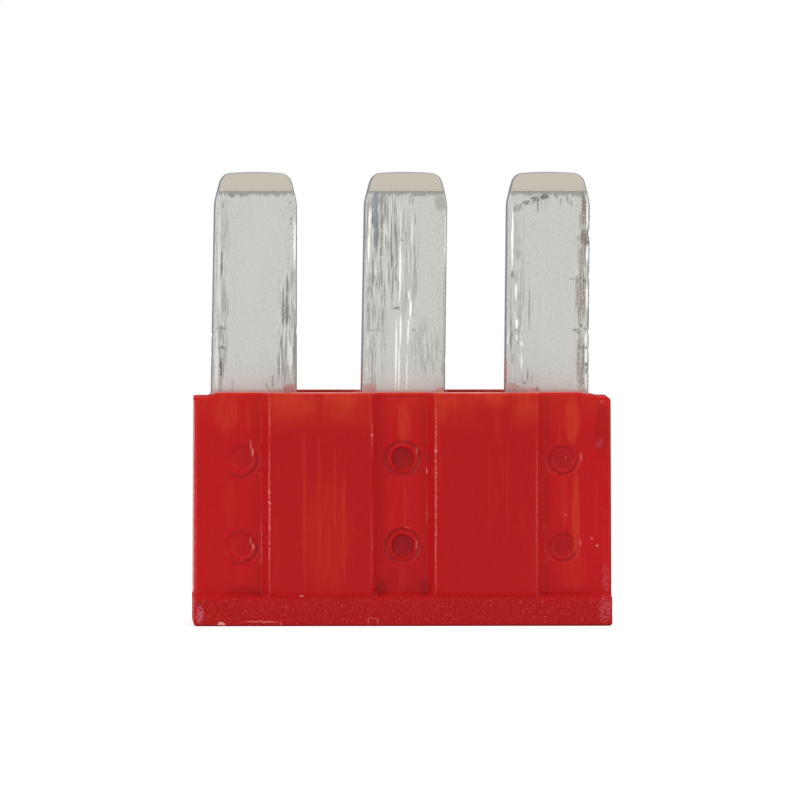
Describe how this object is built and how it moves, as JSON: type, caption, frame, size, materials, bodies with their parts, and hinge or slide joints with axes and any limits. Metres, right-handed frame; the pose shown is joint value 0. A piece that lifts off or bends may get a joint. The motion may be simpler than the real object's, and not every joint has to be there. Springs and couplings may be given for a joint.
{
  "type": "blade fuse",
  "caption": "Micro automotive blade fuse: translucent red housing staked over a stamped element whose flat blades stand up side by side.",
  "frame": {"origin": "middle of the head's flat face, on which the fuse stands", "axes": "+Z from the head to the blade tips, +X across the blades, -Y to the viewer of the front; front and back are alike"},
  "size_m": [0.0144, 0.0042, 0.0156],
  "materials": {
    "housing": "translucent moulded red plastic, satin, with fine draw marks down the panels and a spark-eroded head band",
    "fuse_element": "plated zinc strip, dull grey with bright and dark drawing streaks along the blades"
  },
  "bodies": {
    "root": {"housing": "housing", "fuse_element": "fuse_element"}
  },
  "joints": []
}
